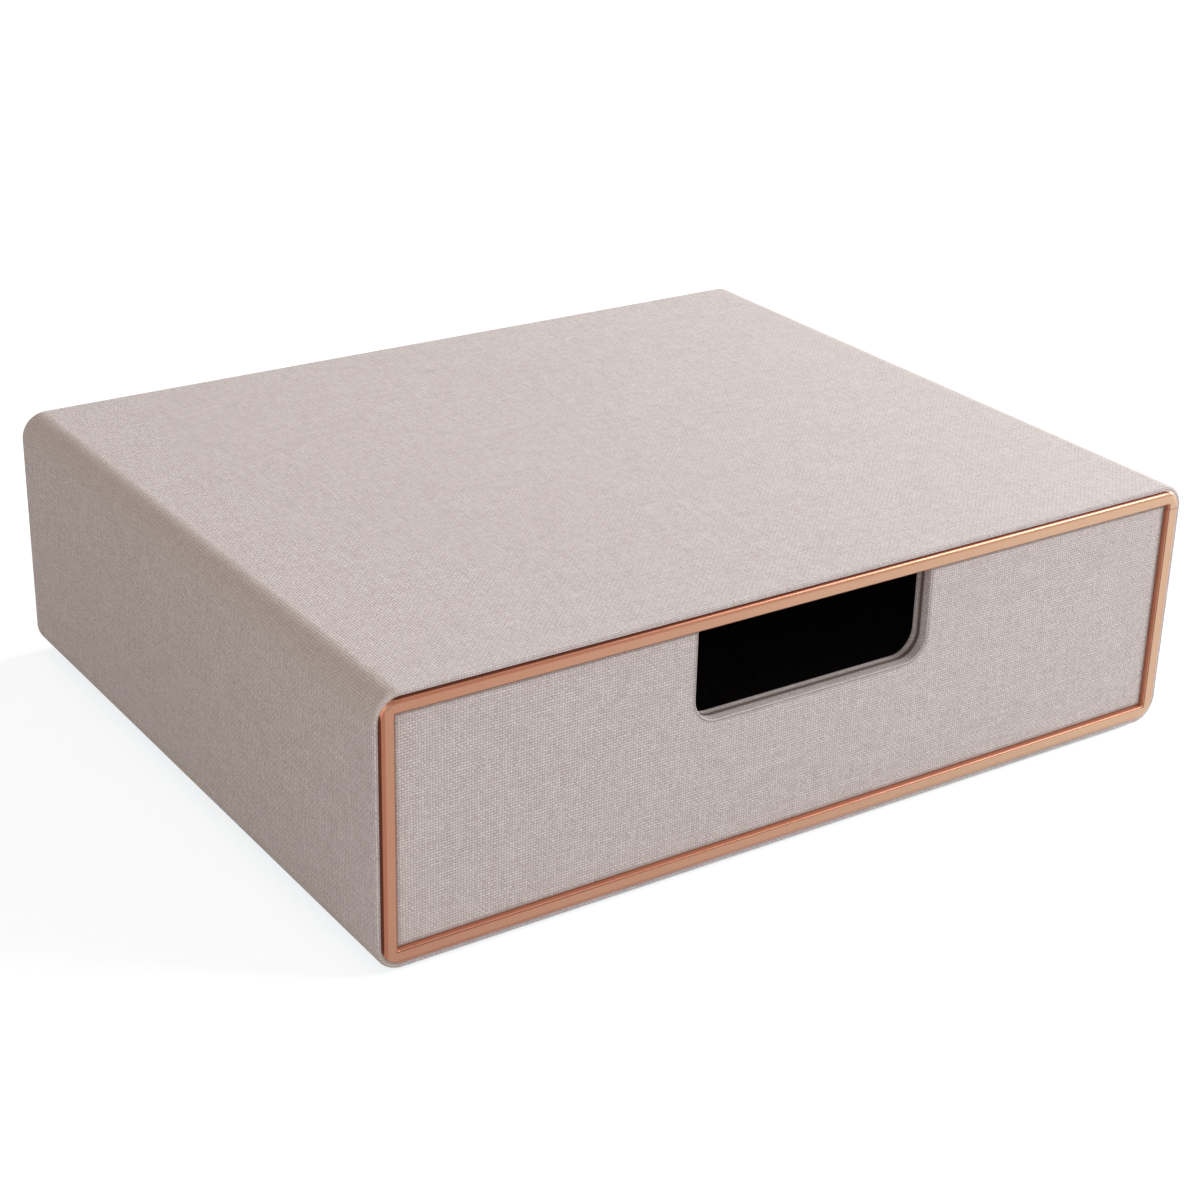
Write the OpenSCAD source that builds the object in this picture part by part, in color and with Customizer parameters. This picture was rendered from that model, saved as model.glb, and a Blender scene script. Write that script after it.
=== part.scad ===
// File box with one drawer.
// A case of glued boards is wrapped in fabric, and a bent metal strip trims its
// mouth. The drawer slides out of the front, which faces -Y. Millimetres, +Z up,
// origin at the middle of the footprint, on the surface that the feet stand on.

/* [Case] */
// Outside width of the case over its fabric
case_w = 330; // [250:1:420]
// Outside depth of the case, from its front lip to its back cover
case_d = 270; // [200:1:360]
// Outside height of the case without its feet
case_h = 95; // [75:1:150]
// Outside radius of the four long edges
edge_r = 9.5; // [8.2:0.1:12]
// Outside radius where the fabric turns over the ends of the case
arris_r = 1; // [0.8:0.1:1.8]
// Thickness of the boards of the case
board_t = 6.25; // [5:0.05:7.5]
// Thickness of the fabric
fabric_t = 0.5; // [0.3:0.05:0.7]
// Thickness of the glue between the fabric and the boards
glue_t = 0.1; // [0.1:0.05:0.2]
// Thickness of the paper lining
lining_t = 0.3; // [0.2:0.05:0.6]
// Thickness of the fabric-covered card on the back
back_cover_t = 0.6; // [0.4:0.1:1.5]
// Distance from the edge of the case to the edge of the back cover
back_cover_inset = 2.2; // [1.9:0.1:5]
// Width of the fabric turned in behind the back cover
back_turn_in = 7; // [5:0.5:8]
// Width of the fabric turned in under the frame
front_turn_in = 4.8; // [3:0.1:5]

/* [Front frame] */
// Width of the fabric that shows outside the frame
lip_w = 1.9; // [1.8:0.1:3]
// Height of the frame over the front of the case
frame_proud = 1.2; // [1:0.1:2]
// Radius of the outer shoulder of the frame
shoulder_r = 2.35; // [2.1:0.05:3]
// Rounding of the inner edge of the frame
bead_r = 0.5; // [0.3:0.05:0.6]
// Radius of the corners of the mouth
mouth_r = 0.8; // [0.6:0.1:1.5]
// Thickness of the leg that goes into the mouth
leg_t = 1; // [0.8:0.1:1.5]
// Length of the leg behind the front of the case
leg_l = 6; // [3:0.5:9]
// Clearance between the leg and its rebate
leg_gap = 0.1; // [0.05:0.05:0.2]
// Width of the butt joint where the ends of the strip meet
strip_joint = 0.15; // [0.1:0.05:0.3]
// Distance of the butt joint below the upper edge of the mouth
strip_joint_drop = 1.9; // [1:0.1:20]

/* [Base] */
// Thickness of the base sheet
base_sheet_t = 0.4; // [0.2:0.1:1]
// Distance from the sides of the case to the edge of the base sheet
base_sheet_inset = 13; // [10:1:18]
// Diameter of a foot
foot_d = 14; // [8:1:18]
// Thickness of a foot
foot_t = 1.5; // [1:0.1:4]
// Distance from the sides of the case to the middle of a foot
foot_inset = 28; // [28:1:60]

/* [Drawer] */
// Distance of the drawer front behind the crown of the frame
front_recess = 1.8; // [1:0.1:4]
// Gap round the drawer front
front_gap = 0.35; // [0.3:0.05:0.6]
// Gap between the drawer box and each side of the case
side_gap = 0.8; // [0.4:0.1:2]
// Gap under the drawer box, and between its back and the bumpers
rest_gap = 0.3; // [0.3:0.05:0.45]
// Thickness of the outer front board
front_board_t = 3.2; // [2.4:0.1:6]
// Thickness of the inner front board
inner_board_t = 2.6; // [2:0.1:5]
// Thickness of the sides and the back of the drawer
drawer_wall_t = 3; // [2.4:0.1:6]
// Thickness of the floor of the drawer
drawer_floor_t = 3; // [2.4:0.1:6]
// Thickness of the felt on the floor of the drawer
felt_t = 0.8; // [0.4:0.1:2]
// Distance from the upper edge of the drawer front down to the drawer walls
wall_drop = 2; // [1:0.5:12]
// Width of the fabric turned in behind the boards of the drawer front
turn_in = 12; // [6:1:16]
// Rounding of the fabric at the edges of the drawer front
soft_edge = 1; // [0.6:0.05:1.1]

/* [Finger notch] */
// Width of the notch
notch_w = 96; // [70:1:140]
// Depth of the notch below the upper edge of the drawer front
notch_h = 33.5; // [20:0.5:45]
// Radius of the lower corners of the notch
notch_r = 9; // [4:0.5:16]

/* [Closing stops] */
// Diameter of a felt bumper
bumper_d = 12; // [6:1:24]
// Thickness of a felt bumper
bumper_t = 3; // [1:0.5:8]
// Distance of the middle of a bumper from the side of the mouth
bumper_inset = 48; // [20:1:60]
// Height of the bumpers over the floor of the case
bumper_z = 22; // [14:1:40]

/* [Brads] */
// Diameter of a brad
brad_d = 1.2; // [0.8:0.1:1.6]
// Length of a brad of the case
case_brad_l = 18; // [12:1:30]
// Length of a brad of the drawer
drawer_brad_l = 12; // [9:1:20]
// Clearance round a brad
brad_gap = 0.05; // [0.05:0.05:0.15]
// Distance of the outer brads from the ends of a joint of the case
brad_end = 24; // [16:1:30]
// Depth of the corner brads of the case below the curve of the edge
brad_set = 0.8; // [0.4:0.1:1]
// Distance of the drawer brads from the ends of its corner joints
drawer_brad_end = 6; // [4:0.5:10]

/* [Hidden] */
$fn = 96;

fabric_colour = [0.80, 0.75, 0.72];
board_colour = [0.70, 0.58, 0.43];
// The boards of the drawer box are faced with black paper.
faced_colour = [0.14, 0.13, 0.13];
lining_colour = [0.10, 0.09, 0.09];
metal_colour = [0.82, 0.54, 0.40];
pad_colour = [0.25, 0.25, 0.26];
steel_colour = [0.62, 0.63, 0.65];

// Anything long enough to cut right through a thin piece.
over = 0.5;

// The pieces are drawn lying in the XY plane, with their front towards +Z: across
// is x, up is y from the middle of the case, and depth is z. facing_front() then
// stands them up.
skin_t = fabric_t + glue_t;
wall_t = skin_t + board_t + lining_t;
total_d = case_d + frame_proud;
middle_z = foot_t + base_sheet_t + case_h / 2;
crown_z = total_d / 2;
lip_z = crown_z - frame_proud;
rear_z = -total_d / 2;
wrap_rear_z = rear_z + back_cover_t;
board_rear_z = wrap_rear_z + skin_t;
board_front_z = lip_z - skin_t;
lining_rear_z = board_rear_z + board_t;

// The case boards fill the space inside the fabric.
shell_w = case_w - 2 * skin_t;
shell_h = case_h - 2 * skin_t;
shell_r = edge_r - skin_t;
bay_w = shell_w - 2 * board_t;
bay_h = shell_h - 2 * board_t;
ease = 0.6 * (arris_r - fabric_t);

// The mouth is the inside of the frame and of the lining.
mouth_w = case_w - 2 * wall_t;
mouth_h = case_h - 2 * wall_t;
frame_w = wall_t - lip_w;
rebate_rear_z = lip_z - leg_l - leg_gap;

// The drawer front fits the mouth, and the drawer box slides behind it.
panel_w = mouth_w - 2 * front_gap;
panel_h = mouth_h - 2 * front_gap;
panel_r = mouth_r - front_gap;
face_z = crown_z - front_recess;
front_back_z = face_z - 2 * fabric_t - front_board_t;
inner_face_z = front_back_z - fabric_t;
inner_back_z = inner_face_z - inner_board_t;
box_w = mouth_w - 2 * side_gap;
edge_reach = min(soft_edge, 2.5 * fabric_t);
box_low = -mouth_h / 2 + rest_gap;
box_top = panel_h / 2 - wall_drop;
box_rear_z = lining_rear_z + lining_t + bumper_t + rest_gap;
box_in_w = box_w - 2 * drawer_wall_t;
box_in_rear_z = box_rear_z + drawer_wall_t;
floor_top = box_low + drawer_floor_t;

// Rows of brads: along the depth of the case, across it, and up the drawer.
case_rows = [board_rear_z + board_t + brad_end, 0, board_front_z - brad_end];
back_rows = [-bay_w / 2 + 2 * brad_end, bay_w / 2 - 2 * brad_end];
side_rows = [-bay_h / 4, bay_h / 4];
brad_out = shell_r - board_t / 2 + brad_d / 2;
brad_sink = shell_r - sqrt(shell_r * shell_r - brad_out * brad_out) + brad_set;
drawer_rows = [floor_top + drawer_brad_end, box_top - drawer_brad_end];
floor_rows = [box_in_rear_z + brad_end, 0, inner_back_z - brad_end];

module facing_front() {
    translate([0, 0, middle_z])
        rotate([90, 0, 0])
            children();
}

module quarter_disc(r) {
    intersection() {
        circle(r);
        square([r + over, r + over]);
    }
}

module rounded_rect(w, h, r) {
    square([w - 2 * r, h], center = true);
    square([w, h - 2 * r], center = true);
    for (k = [0:3]) {
        across = k % 2 == 0 ? w : h;
        along = k % 2 == 0 ? h : w;
        rotate(90 * k)
            translate([across / 2 - r, along / 2 - r])
                quarter_disc(r);
    }
}

// Carries a profile round a rounded rectangle. The profile's x is its distance
// from the centre of the corners, so x = r lies on the outline, and its y is depth.
module ring_sweep(w, h, r) {
    for (k = [0:3]) {
        across = k % 2 == 0 ? w : h;
        along = k % 2 == 0 ? h : w;
        rotate([0, 0, 90 * k])
            translate([across / 2 - r, along / 2 - r, 0]) {
                rotate_extrude(angle = 90)
                    children();
                rotate([90, 0, 0])
                    linear_extrude(along - 2 * r)
                        children();
            }
    }
}

// Carries a profile down one side of the notch, along its bottom and up the other.
// The profile's x = notch_r lies on the edge of the notch.
module notch_sweep() {
    half = notch_w / 2 - notch_r;
    rise = notch_h - notch_r + over;
    translate([0, panel_h / 2 - notch_h + notch_r, 0]) {
        for (s = [0, 1])
            mirror([s, 0, 0])
                translate([half, 0, 0]) {
                    rotate([0, 0, 270])
                        rotate_extrude(angle = 90)
                            children();
                    translate([0, rise, 0])
                        rotate([90, 0, 0])
                            linear_extrude(rise)
                                children();
                }
        rotate([0, 0, 270])
            translate([0, half, 0])
                rotate([90, 0, 0])
                    linear_extrude(2 * half)
                        children();
    }
}

// The notch, open at the top, grown outwards by grow.
module notch_outline(grow) {
    half = notch_w / 2 + grow;
    r = notch_r + grow;
    bottom = panel_h / 2 - notch_h - grow;
    top = panel_h / 2 + over;
    translate([-half, bottom + r])
        square([2 * half, top - bottom - r]);
    translate([r - half, bottom])
        square([2 * (half - r), r]);
    translate([half - r, bottom + r])
        rotate(270)
            quarter_disc(r);
    translate([r - half, bottom + r])
        rotate(180)
            quarter_disc(r);
}

// What is taken off a square edge at the origin to round it over a width of reach.
// The solid lies at positive x and negative y. The arc meets both faces at a
// slight angle.
module edge_cut(reach) {
    centre = reach / 0.753;
    difference() {
        translate([-over, -centre])
            square([centre + over, centre + over]);
        translate([centre, -centre])
            circle(1.03 * centre);
    }
}

module edge_cuts(reach, back, front) {
    translate([0, front])
        edge_cut(reach);
    translate([0, back])
        mirror([0, 1])
            edge_cut(reach);
}

// Space inside the fabric, with eased edges at both ends, cut to one board.
module case_board(size, at) {
    difference() {
        translate([0, 0, board_rear_z])
            linear_extrude(board_front_z - board_rear_z)
                intersection() {
                    rounded_rect(shell_w, shell_h, shell_r);
                    translate(at)
                        square(size, center = true);
                }
        ring_sweep(shell_w, shell_h, shell_r)
            for (end = [board_front_z, board_rear_z])
                translate([shell_r, end])
                    polygon([[-ease, 0], [0, -ease], [ease, 0], [0, ease]]);
        translate([0, 0, rebate_rear_z])
            linear_extrude(crown_z - rebate_rear_z)
                mouth_outline(leg_t + leg_gap);
        case_brad_set(true);
    }
}

// The mouth, grown outwards by grow.
module mouth_outline(grow) {
    rounded_rect(mouth_w + 2 * grow, mouth_h + 2 * grow, mouth_r + grow);
}

// A brad driven in flush along -Z, or its hole, which starts a little outside the face.
module brad(length, hole) {
    if (hole)
        cylinder(d = brad_d + 2 * brad_gap, h = 2 * length, center = true);
    else
        translate([0, 0, -length])
            cylinder(d = brad_d, h = length);
}

module case_brad_set(hole) {
    for (up = [-1, 1]) {
        for (side = [-1, 1], z = case_rows)
            translate([side * (bay_w + board_t) / 2, up * (shell_h / 2 - brad_sink), z])
                rotate([-up * 90, 0, 0])
                    translate([0, 0, -case_brad_l])
                        cylinder(d = brad_d + (hole ? 2 * brad_gap : 0), h = case_brad_l);
        for (x = back_rows)
            translate([x, up * shell_h / 2, lining_rear_z - board_t / 2])
                rotate([-up * 90, 0, 0])
                    brad(case_brad_l, hole);
    }
    for (side = [-1, 1], y = side_rows)
        translate([side * shell_w / 2, y, lining_rear_z - board_t / 2])
            rotate([0, side * 90, 0])
                brad(case_brad_l, hole);
}

module drawer_brad_set(hole) {
    for (side = [-1, 1]) {
        for (y = drawer_rows)
            translate([side * box_w / 2, y, box_rear_z + drawer_wall_t / 2])
                rotate([0, side * 90, 0])
                    brad(drawer_brad_l, hole);
        for (z = floor_rows)
            translate([side * box_w / 2, box_low + drawer_floor_t / 2, z])
                rotate([0, side * 90, 0])
                    brad(drawer_brad_l, hole);
    }
}

module case_top_board() {
    color(board_colour)
        facing_front()
            case_board([case_w, board_t], [0, (shell_h - board_t) / 2]);
}

module case_bottom_board() {
    color(board_colour)
        facing_front()
            case_board([case_w, board_t], [0, (board_t - shell_h) / 2]);
}

module case_left_board() {
    color(board_colour)
        facing_front()
            case_board([board_t, bay_h], [(board_t - shell_w) / 2, 0]);
}

module case_right_board() {
    color(board_colour)
        facing_front()
            case_board([board_t, bay_h], [(shell_w - board_t) / 2, 0]);
}

module case_back_board() {
    color(board_colour)
        facing_front()
            difference() {
                translate([0, 0, board_rear_z + board_t / 2])
                    cube([bay_w, bay_h, board_t], center = true);
                case_brad_set(true);
            }
}

// Half of the wrap's section, from the middle of its depth to one end: the skin,
// its rounded edge and the strip turned in to x = inner.
module wrap_half_profile(length, inner) {
    difference() {
        union() {
            translate([inner, 0])
                square([edge_r - arris_r - inner, length]);
            translate([edge_r - arris_r, 0])
                square([arris_r, length - arris_r]);
            translate([edge_r - arris_r, length - arris_r])
                quarter_disc(arris_r);
        }
        translate([inner - over, -over])
            square([edge_r - arris_r - inner + over, length - fabric_t + over]);
        translate([edge_r - arris_r - over, -over])
            square([arris_r - fabric_t + over, length - arris_r + over]);
        translate([edge_r - arris_r, length - arris_r])
            quarter_disc(arris_r - fabric_t);
    }
}

module case_wrap() {
    split_z = (lip_z + wrap_rear_z) / 2;
    half_l = (lip_z - wrap_rear_z) / 2;
    color(fabric_colour)
        facing_front()
            ring_sweep(case_w, case_h, edge_r)
                translate([0, split_z]) {
                    wrap_half_profile(half_l, edge_r - front_turn_in);
                    mirror([0, 1])
                        wrap_half_profile(half_l, edge_r - back_turn_in);
                }
}

module back_cover() {
    color(fabric_colour)
        facing_front()
            translate([0, 0, rear_z])
                linear_extrude(back_cover_t)
                    rounded_rect(case_w - 2 * back_cover_inset, case_h - 2 * back_cover_inset,
                        edge_r - back_cover_inset);
}

module case_lining() {
    color(lining_colour)
        facing_front()
            difference() {
                translate([0, 0, lining_rear_z])
                    linear_extrude(rebate_rear_z - lining_rear_z)
                        square([bay_w, bay_h], center = true);
                translate([0, 0, lining_rear_z + lining_t])
                    linear_extrude(rebate_rear_z - lining_rear_z)
                        square([mouth_w, mouth_h], center = true);
            }
}

// The part of the frame over the front of the case, up to a little inside the mouth.
module flange_profile() {
    outer = edge_r - lip_w;
    shoulder_w = sqrt(2 * shoulder_r * frame_proud - frame_proud * frame_proud);
    translate([0, lip_z]) {
        translate([outer - frame_w - over, 0])
            square([frame_w + over - shoulder_w, frame_proud]);
        translate([outer - shoulder_w, 0])
            intersection() {
                square([shoulder_w + over, frame_proud + over]);
                translate([0, frame_proud - shoulder_r])
                    circle(shoulder_r);
            }
    }
}

module front_frame() {
    joint_y = mouth_h / 2 - strip_joint_drop;
    color(metal_colour)
        facing_front()
            difference() {
                union() {
                    ring_sweep(case_w, case_h, edge_r)
                        flange_profile();
                    translate([0, 0, lip_z - leg_l])
                        linear_extrude(leg_l + frame_proud / 2)
                            mouth_outline(leg_t);
                }
                translate([0, 0, lip_z - leg_l - over])
                    linear_extrude(leg_l + frame_proud + 2 * over)
                        mouth_outline(0);
                ring_sweep(mouth_w, mouth_h, mouth_r)
                    translate([mouth_r, crown_z])
                        edge_cut(bead_r);
                translate([mouth_w / 2 - over, joint_y - strip_joint, lip_z - leg_l - over])
                    cube([frame_w + 2 * over, strip_joint, leg_l + frame_proud + 2 * over]);
            }
}

module base_sheet() {
    color(lining_colour)
        translate([0, frame_proud / 2, foot_t])
            linear_extrude(base_sheet_t)
                square([case_w - 2 * base_sheet_inset, case_d - 2 * base_sheet_inset],
                    center = true);
}

module foot(side, depth) {
    color(pad_colour)
        translate([side * (case_w / 2 - foot_inset),
                depth * (case_d / 2 - foot_inset) + frame_proud / 2, 0])
            cylinder(d = foot_d, h = foot_t);
}

module foot_front_left() {
    foot(-1, -1);
}

module foot_front_right() {
    foot(1, -1);
}

module foot_back_left() {
    foot(-1, 1);
}

module foot_back_right() {
    foot(1, 1);
}

module rear_bumper(side) {
    color(pad_colour)
        facing_front()
            translate([side * (mouth_w / 2 - bumper_inset), bumper_z - mouth_h / 2,
                    lining_rear_z + lining_t])
                cylinder(d = bumper_d, h = bumper_t);
}

module rear_bumper_left() {
    rear_bumper(-1);
}

module rear_bumper_right() {
    rear_bumper(1);
}

module case_brads() {
    color(steel_colour)
        facing_front()
            case_brad_set(false);
}

// The outer front board is inset by inset from the edges of its cover. The pocket in
// the cover is the same shape, inset by the fabric alone.
module front_board_solid(inset) {
    translate([0, 0, front_back_z + fabric_t])
        linear_extrude(front_board_t)
            difference() {
                square([panel_w - 2 * inset, panel_h - 2 * inset], center = true);
                notch_outline(inset);
            }
}

// Rounds the front and back edges on all four sides of the drawer front.
module panel_edge_cuts() {
    for (k = [0:3]) {
        across = k % 2 == 0 ? panel_w : panel_h;
        along = k % 2 == 0 ? panel_h : panel_w;
        rotate([0, 0, 90 * k])
            translate([across / 2, along / 2 + over, 0])
                rotate([90, 0, 0])
                    linear_extrude(along + 2 * over)
                        mirror([1, 0])
                            edge_cuts(edge_reach, front_back_z, face_z);
    }
}

module drawer_front_board() {
    color(board_colour)
        facing_front()
            front_board_solid(skin_t);
}

module drawer_front_cover() {
    color(fabric_colour)
        facing_front()
            difference() {
                translate([0, 0, front_back_z])
                    linear_extrude(face_z - front_back_z)
                        difference() {
                            rounded_rect(panel_w, panel_h, panel_r);
                            notch_outline(0);
                        }
                panel_edge_cuts();
                notch_sweep()
                    translate([notch_r, 0])
                        edge_cuts(edge_reach, front_back_z, face_z);
                front_board_solid(fabric_t);
                translate([0, 0, front_back_z - over])
                    linear_extrude(over + fabric_t)
                        difference() {
                            square([panel_w - 2 * turn_in, panel_h - 2 * turn_in],
                                center = true);
                            notch_outline(turn_in);
                        }
            }
}

// Section of the drawer box across its depth.
module box_outline() {
    translate([-box_w / 2, box_low])
        square([box_w, box_top - box_low]);
}

module inner_board_solid(inset) {
    translate([0, 0, inner_back_z])
        linear_extrude(inner_board_t)
            difference() {
                box_outline();
                notch_outline(inset);
            }
}

module drawer_inner_front() {
    color(faced_colour)
        facing_front()
            inner_board_solid(skin_t);
}

module notch_binding() {
    color(fabric_colour)
        facing_front()
            difference() {
                translate([0, 0, inner_back_z - fabric_t])
                    linear_extrude(inner_board_t + 2 * fabric_t)
                        difference() {
                            intersection() {
                                notch_outline(turn_in);
                                box_outline();
                            }
                            notch_outline(0);
                        }
                notch_sweep()
                    translate([notch_r, 0])
                        edge_cuts(edge_reach, inner_back_z - fabric_t, front_back_z);
                inner_board_solid(fabric_t);
            }
}

module drawer_side(side) {
    color(faced_colour)
        facing_front()
            difference() {
                translate([0, 0, box_rear_z])
                    linear_extrude(inner_back_z - box_rear_z)
                        intersection() {
                            box_outline();
                            translate([side * (box_w - drawer_wall_t) / 2, 0])
                                square([drawer_wall_t, mouth_h], center = true);
                        }
                drawer_brad_set(true);
            }
}

module drawer_left_side() {
    drawer_side(-1);
}

module drawer_right_side() {
    drawer_side(1);
}

module drawer_back() {
    color(faced_colour)
        facing_front()
            difference() {
                translate([-box_in_w / 2, box_low, box_rear_z])
                    cube([box_in_w, box_top - box_low, drawer_wall_t]);
                drawer_brad_set(true);
            }
}

module drawer_floor() {
    color(faced_colour)
        facing_front()
            difference() {
                translate([-box_in_w / 2, box_low, box_in_rear_z])
                    cube([box_in_w, drawer_floor_t, inner_back_z - box_in_rear_z]);
                drawer_brad_set(true);
            }
}

module drawer_wall_liner() {
    lined_w = box_in_w - 2 * lining_t;
    lined_l = inner_back_z - box_in_rear_z - 2 * lining_t;
    color(lining_colour)
        facing_front()
            difference() {
                translate([-box_in_w / 2, floor_top, box_in_rear_z])
                    cube([box_in_w, box_top - floor_top, lined_l + 2 * lining_t]);
                translate([-lined_w / 2, floor_top - over, box_in_rear_z + lining_t])
                    cube([lined_w, box_top - floor_top + 2 * over, lined_l]);
                translate([0, 0, inner_back_z - lining_t - over])
                    linear_extrude(lining_t + 2 * over)
                        notch_outline(turn_in + glue_t);
            }
}

module drawer_floor_liner() {
    lined_w = box_in_w - 2 * lining_t;
    lined_l = inner_back_z - box_in_rear_z - 2 * lining_t;
    color(lining_colour)
        facing_front()
            translate([-lined_w / 2, floor_top, box_in_rear_z + lining_t])
                cube([lined_w, felt_t, lined_l]);
}

module drawer_brads() {
    color(steel_colour)
        facing_front()
            drawer_brad_set(false);
}

case_top_board();
case_bottom_board();
case_left_board();
case_right_board();
case_back_board();
case_wrap();
back_cover();
case_lining();
front_frame();
base_sheet();
foot_front_left();
foot_front_right();
foot_back_left();
foot_back_right();
rear_bumper_left();
rear_bumper_right();
case_brads();
drawer_front_board();
drawer_front_cover();
drawer_inner_front();
notch_binding();
drawer_left_side();
drawer_right_side();
drawer_back();
drawer_floor();
drawer_wall_liner();
drawer_floor_liner();
drawer_brads();
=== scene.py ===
"""A fabric-wrapped desk box with a metal frame round its mouth and one drawer.

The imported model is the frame. The cloth, felt and foot pads are made here, and the
boards, the metal strip, the papers and the brads keep their solids and get a finish.
Everything is in metres: +X right, -Y towards the drawer front, +Z up.
"""

import math

import bmesh
import bpy
from mathutils import Matrix, Vector


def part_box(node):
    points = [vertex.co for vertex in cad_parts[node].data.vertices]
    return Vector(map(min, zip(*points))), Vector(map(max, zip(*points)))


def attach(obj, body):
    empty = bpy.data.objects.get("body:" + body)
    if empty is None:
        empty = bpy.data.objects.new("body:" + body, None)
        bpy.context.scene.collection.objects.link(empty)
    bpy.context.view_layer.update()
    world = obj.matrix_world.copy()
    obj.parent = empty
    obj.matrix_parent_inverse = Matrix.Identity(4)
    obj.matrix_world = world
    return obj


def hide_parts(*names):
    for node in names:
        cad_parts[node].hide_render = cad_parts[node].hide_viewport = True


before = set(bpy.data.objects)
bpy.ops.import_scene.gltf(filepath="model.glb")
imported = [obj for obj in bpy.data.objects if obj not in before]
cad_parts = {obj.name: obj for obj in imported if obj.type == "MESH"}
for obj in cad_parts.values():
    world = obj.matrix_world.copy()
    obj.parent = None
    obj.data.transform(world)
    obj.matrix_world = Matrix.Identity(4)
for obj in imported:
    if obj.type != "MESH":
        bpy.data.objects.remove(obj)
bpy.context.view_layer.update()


# ---------------------------------------------------------------- boards of the case
# Five fibreboard panels make the case, glued at their edges and bradded. All of them are
# hidden under the cloth outside and the paper inside.

def new_finish(name):
    """A material, its node tree and its Principled shader."""
    material = bpy.data.materials.new(name)
    material.use_nodes = True
    tree = material.node_tree
    return material, tree, tree.nodes["Principled BSDF"]


def new_group(name, inputs, outputs):
    """A node group with these sockets, its input node and its output node."""
    tree = bpy.data.node_groups.new(name, "ShaderNodeTree")
    for label, kind, value in inputs:
        socket = tree.interface.new_socket(label, in_out="INPUT", socket_type=kind)
        if value is not None:
            socket.default_value = value
    for label in outputs:
        tree.interface.new_socket(label, in_out="OUTPUT", socket_type="NodeSocketFloat")
    return tree, tree.nodes.new("NodeGroupInput"), tree.nodes.new("NodeGroupOutput")


def feed(tree, socket, value):
    """Links a socket to the input, or sets the input to a plain value."""
    if isinstance(value, bpy.types.NodeSocket):
        tree.links.new(value, socket)
    else:
        socket.default_value = value


def calc(tree, operation, *terms):
    """A sum, product or other result of terms, which are sockets or plain values."""
    node = tree.nodes.new("ShaderNodeMath")
    node.operation = operation
    for socket, term in zip(node.inputs, terms):
        feed(tree, socket, term)
    return node.outputs["Value"]


def calc_vector(tree, operation, *terms):
    """The same for vectors. SCALE takes a vector and a value."""
    node = tree.nodes.new("ShaderNodeVectorMath")
    node.operation = operation
    slots = [node.inputs[0], node.inputs["Scale"]] if operation == "SCALE" else node.inputs
    for socket, term in zip(slots, terms):
        feed(tree, socket, term)
    return node.outputs["Vector"]


def noise(tree, place, size, detail=2.0):
    """Noise from 0 to 1 whose cells are about size wide, in the units of place."""
    node = tree.nodes.new("ShaderNodeTexNoise")
    node.inputs["Scale"].default_value = 1.0 / size
    node.inputs["Detail"].default_value = detail
    feed(tree, node.inputs["Vector"], place)
    return node.outputs["Fac"]


def spread(tree, value, low, high, to_low=0.0, to_high=1.0):
    """Goes smoothly from to_low to to_high as value goes from low to high."""
    node = tree.nodes.new("ShaderNodeMapRange")
    node.interpolation_type = "SMOOTHSTEP"
    for label, term in (("From Min", low), ("From Max", high), ("To Min", to_low), ("To Max", to_high)):
        node.inputs[label].default_value = term
    feed(tree, node.inputs["Value"], value)
    return node.outputs["Result"]


def blend_colour(tree, mask, first, second):
    """The first colour where mask is 0, and the second where it is 1."""
    node = tree.nodes.new("ShaderNodeMix")
    node.data_type = "RGBA"
    feed(tree, node.inputs["Factor"], mask)
    for socket, colour in ((node.inputs[6], first), (node.inputs[7], second)):
        feed(tree, socket, colour)
    return node.outputs[2]


def raise_surface(tree, shader, height, depth, strength=1.0):
    """Bumps the surface by up to depth metres."""
    bump = tree.nodes.new("ShaderNodeBump")
    bump.inputs["Distance"].default_value = depth
    bump.inputs["Strength"].default_value = strength
    feed(tree, bump.inputs["Height"], height)
    tree.links.new(bump.outputs["Normal"], shader.inputs["Normal"])


def object_place(tree):
    """Where a point lies on its own object, in metres."""
    return tree.nodes.new("ShaderNodeTexCoord").outputs["Object"]


def use_group(tree, group, **inputs):
    """Places a node group in a material, with its inputs set."""
    node = tree.nodes.new("ShaderNodeGroup")
    node.node_tree = group
    for label, value in inputs.items():
        feed(tree, node.inputs[label], value)
    return node


def dress(node, material):
    """Gives a CAD node its finish."""
    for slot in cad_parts[node].material_slots:
        slot.material = material


# Fibres, specks and blotches of pressed fibre, for board, paper and felt. The sizes here
# are in widths of a fibre.
swirl_size = 2.5
swirl_bands = 34.0
band_share = 0.18
fine_size = 0.35
speck_size = 0.8
blotch_size = 22.0

fibres, fibres_in, fibres_out = new_group(
    "pressed_fibres",
    [("Place", "NodeSocketVector", None), ("Size", "NodeSocketFloat", 0.001)],
    ["Fibre", "Speck", "Blotch"],
)
fibre_place = calc_vector(fibres, "SCALE", fibres_in.outputs["Place"],
                          calc(fibres, "DIVIDE", 1.0, fibres_in.outputs["Size"]))
fibre_swirl = noise(fibres, fibre_place, swirl_size, 3.0)
fibre_bands = calc(fibres, "SINE", calc(fibres, "MULTIPLY", fibre_swirl, swirl_bands))
fibre_fine = noise(fibres, fibre_place, fine_size, 3.0)
fibre_sum = calc(fibres, "ADD", calc(fibres, "MULTIPLY", fibre_bands, band_share), fibre_fine)
specks = noise(fibres, fibre_place, speck_size, 1.0)
blotches = noise(fibres, fibre_place, blotch_size, 3.0)
fibres.links.new(spread(fibres, fibre_sum, 0.3, 0.75), fibres_out.inputs["Fibre"])
fibres.links.new(spread(fibres, specks, 0.62, 0.72), fibres_out.inputs["Speck"])
fibres.links.new(spread(fibres, blotches, 0.3, 0.7), fibres_out.inputs["Blotch"])

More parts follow.
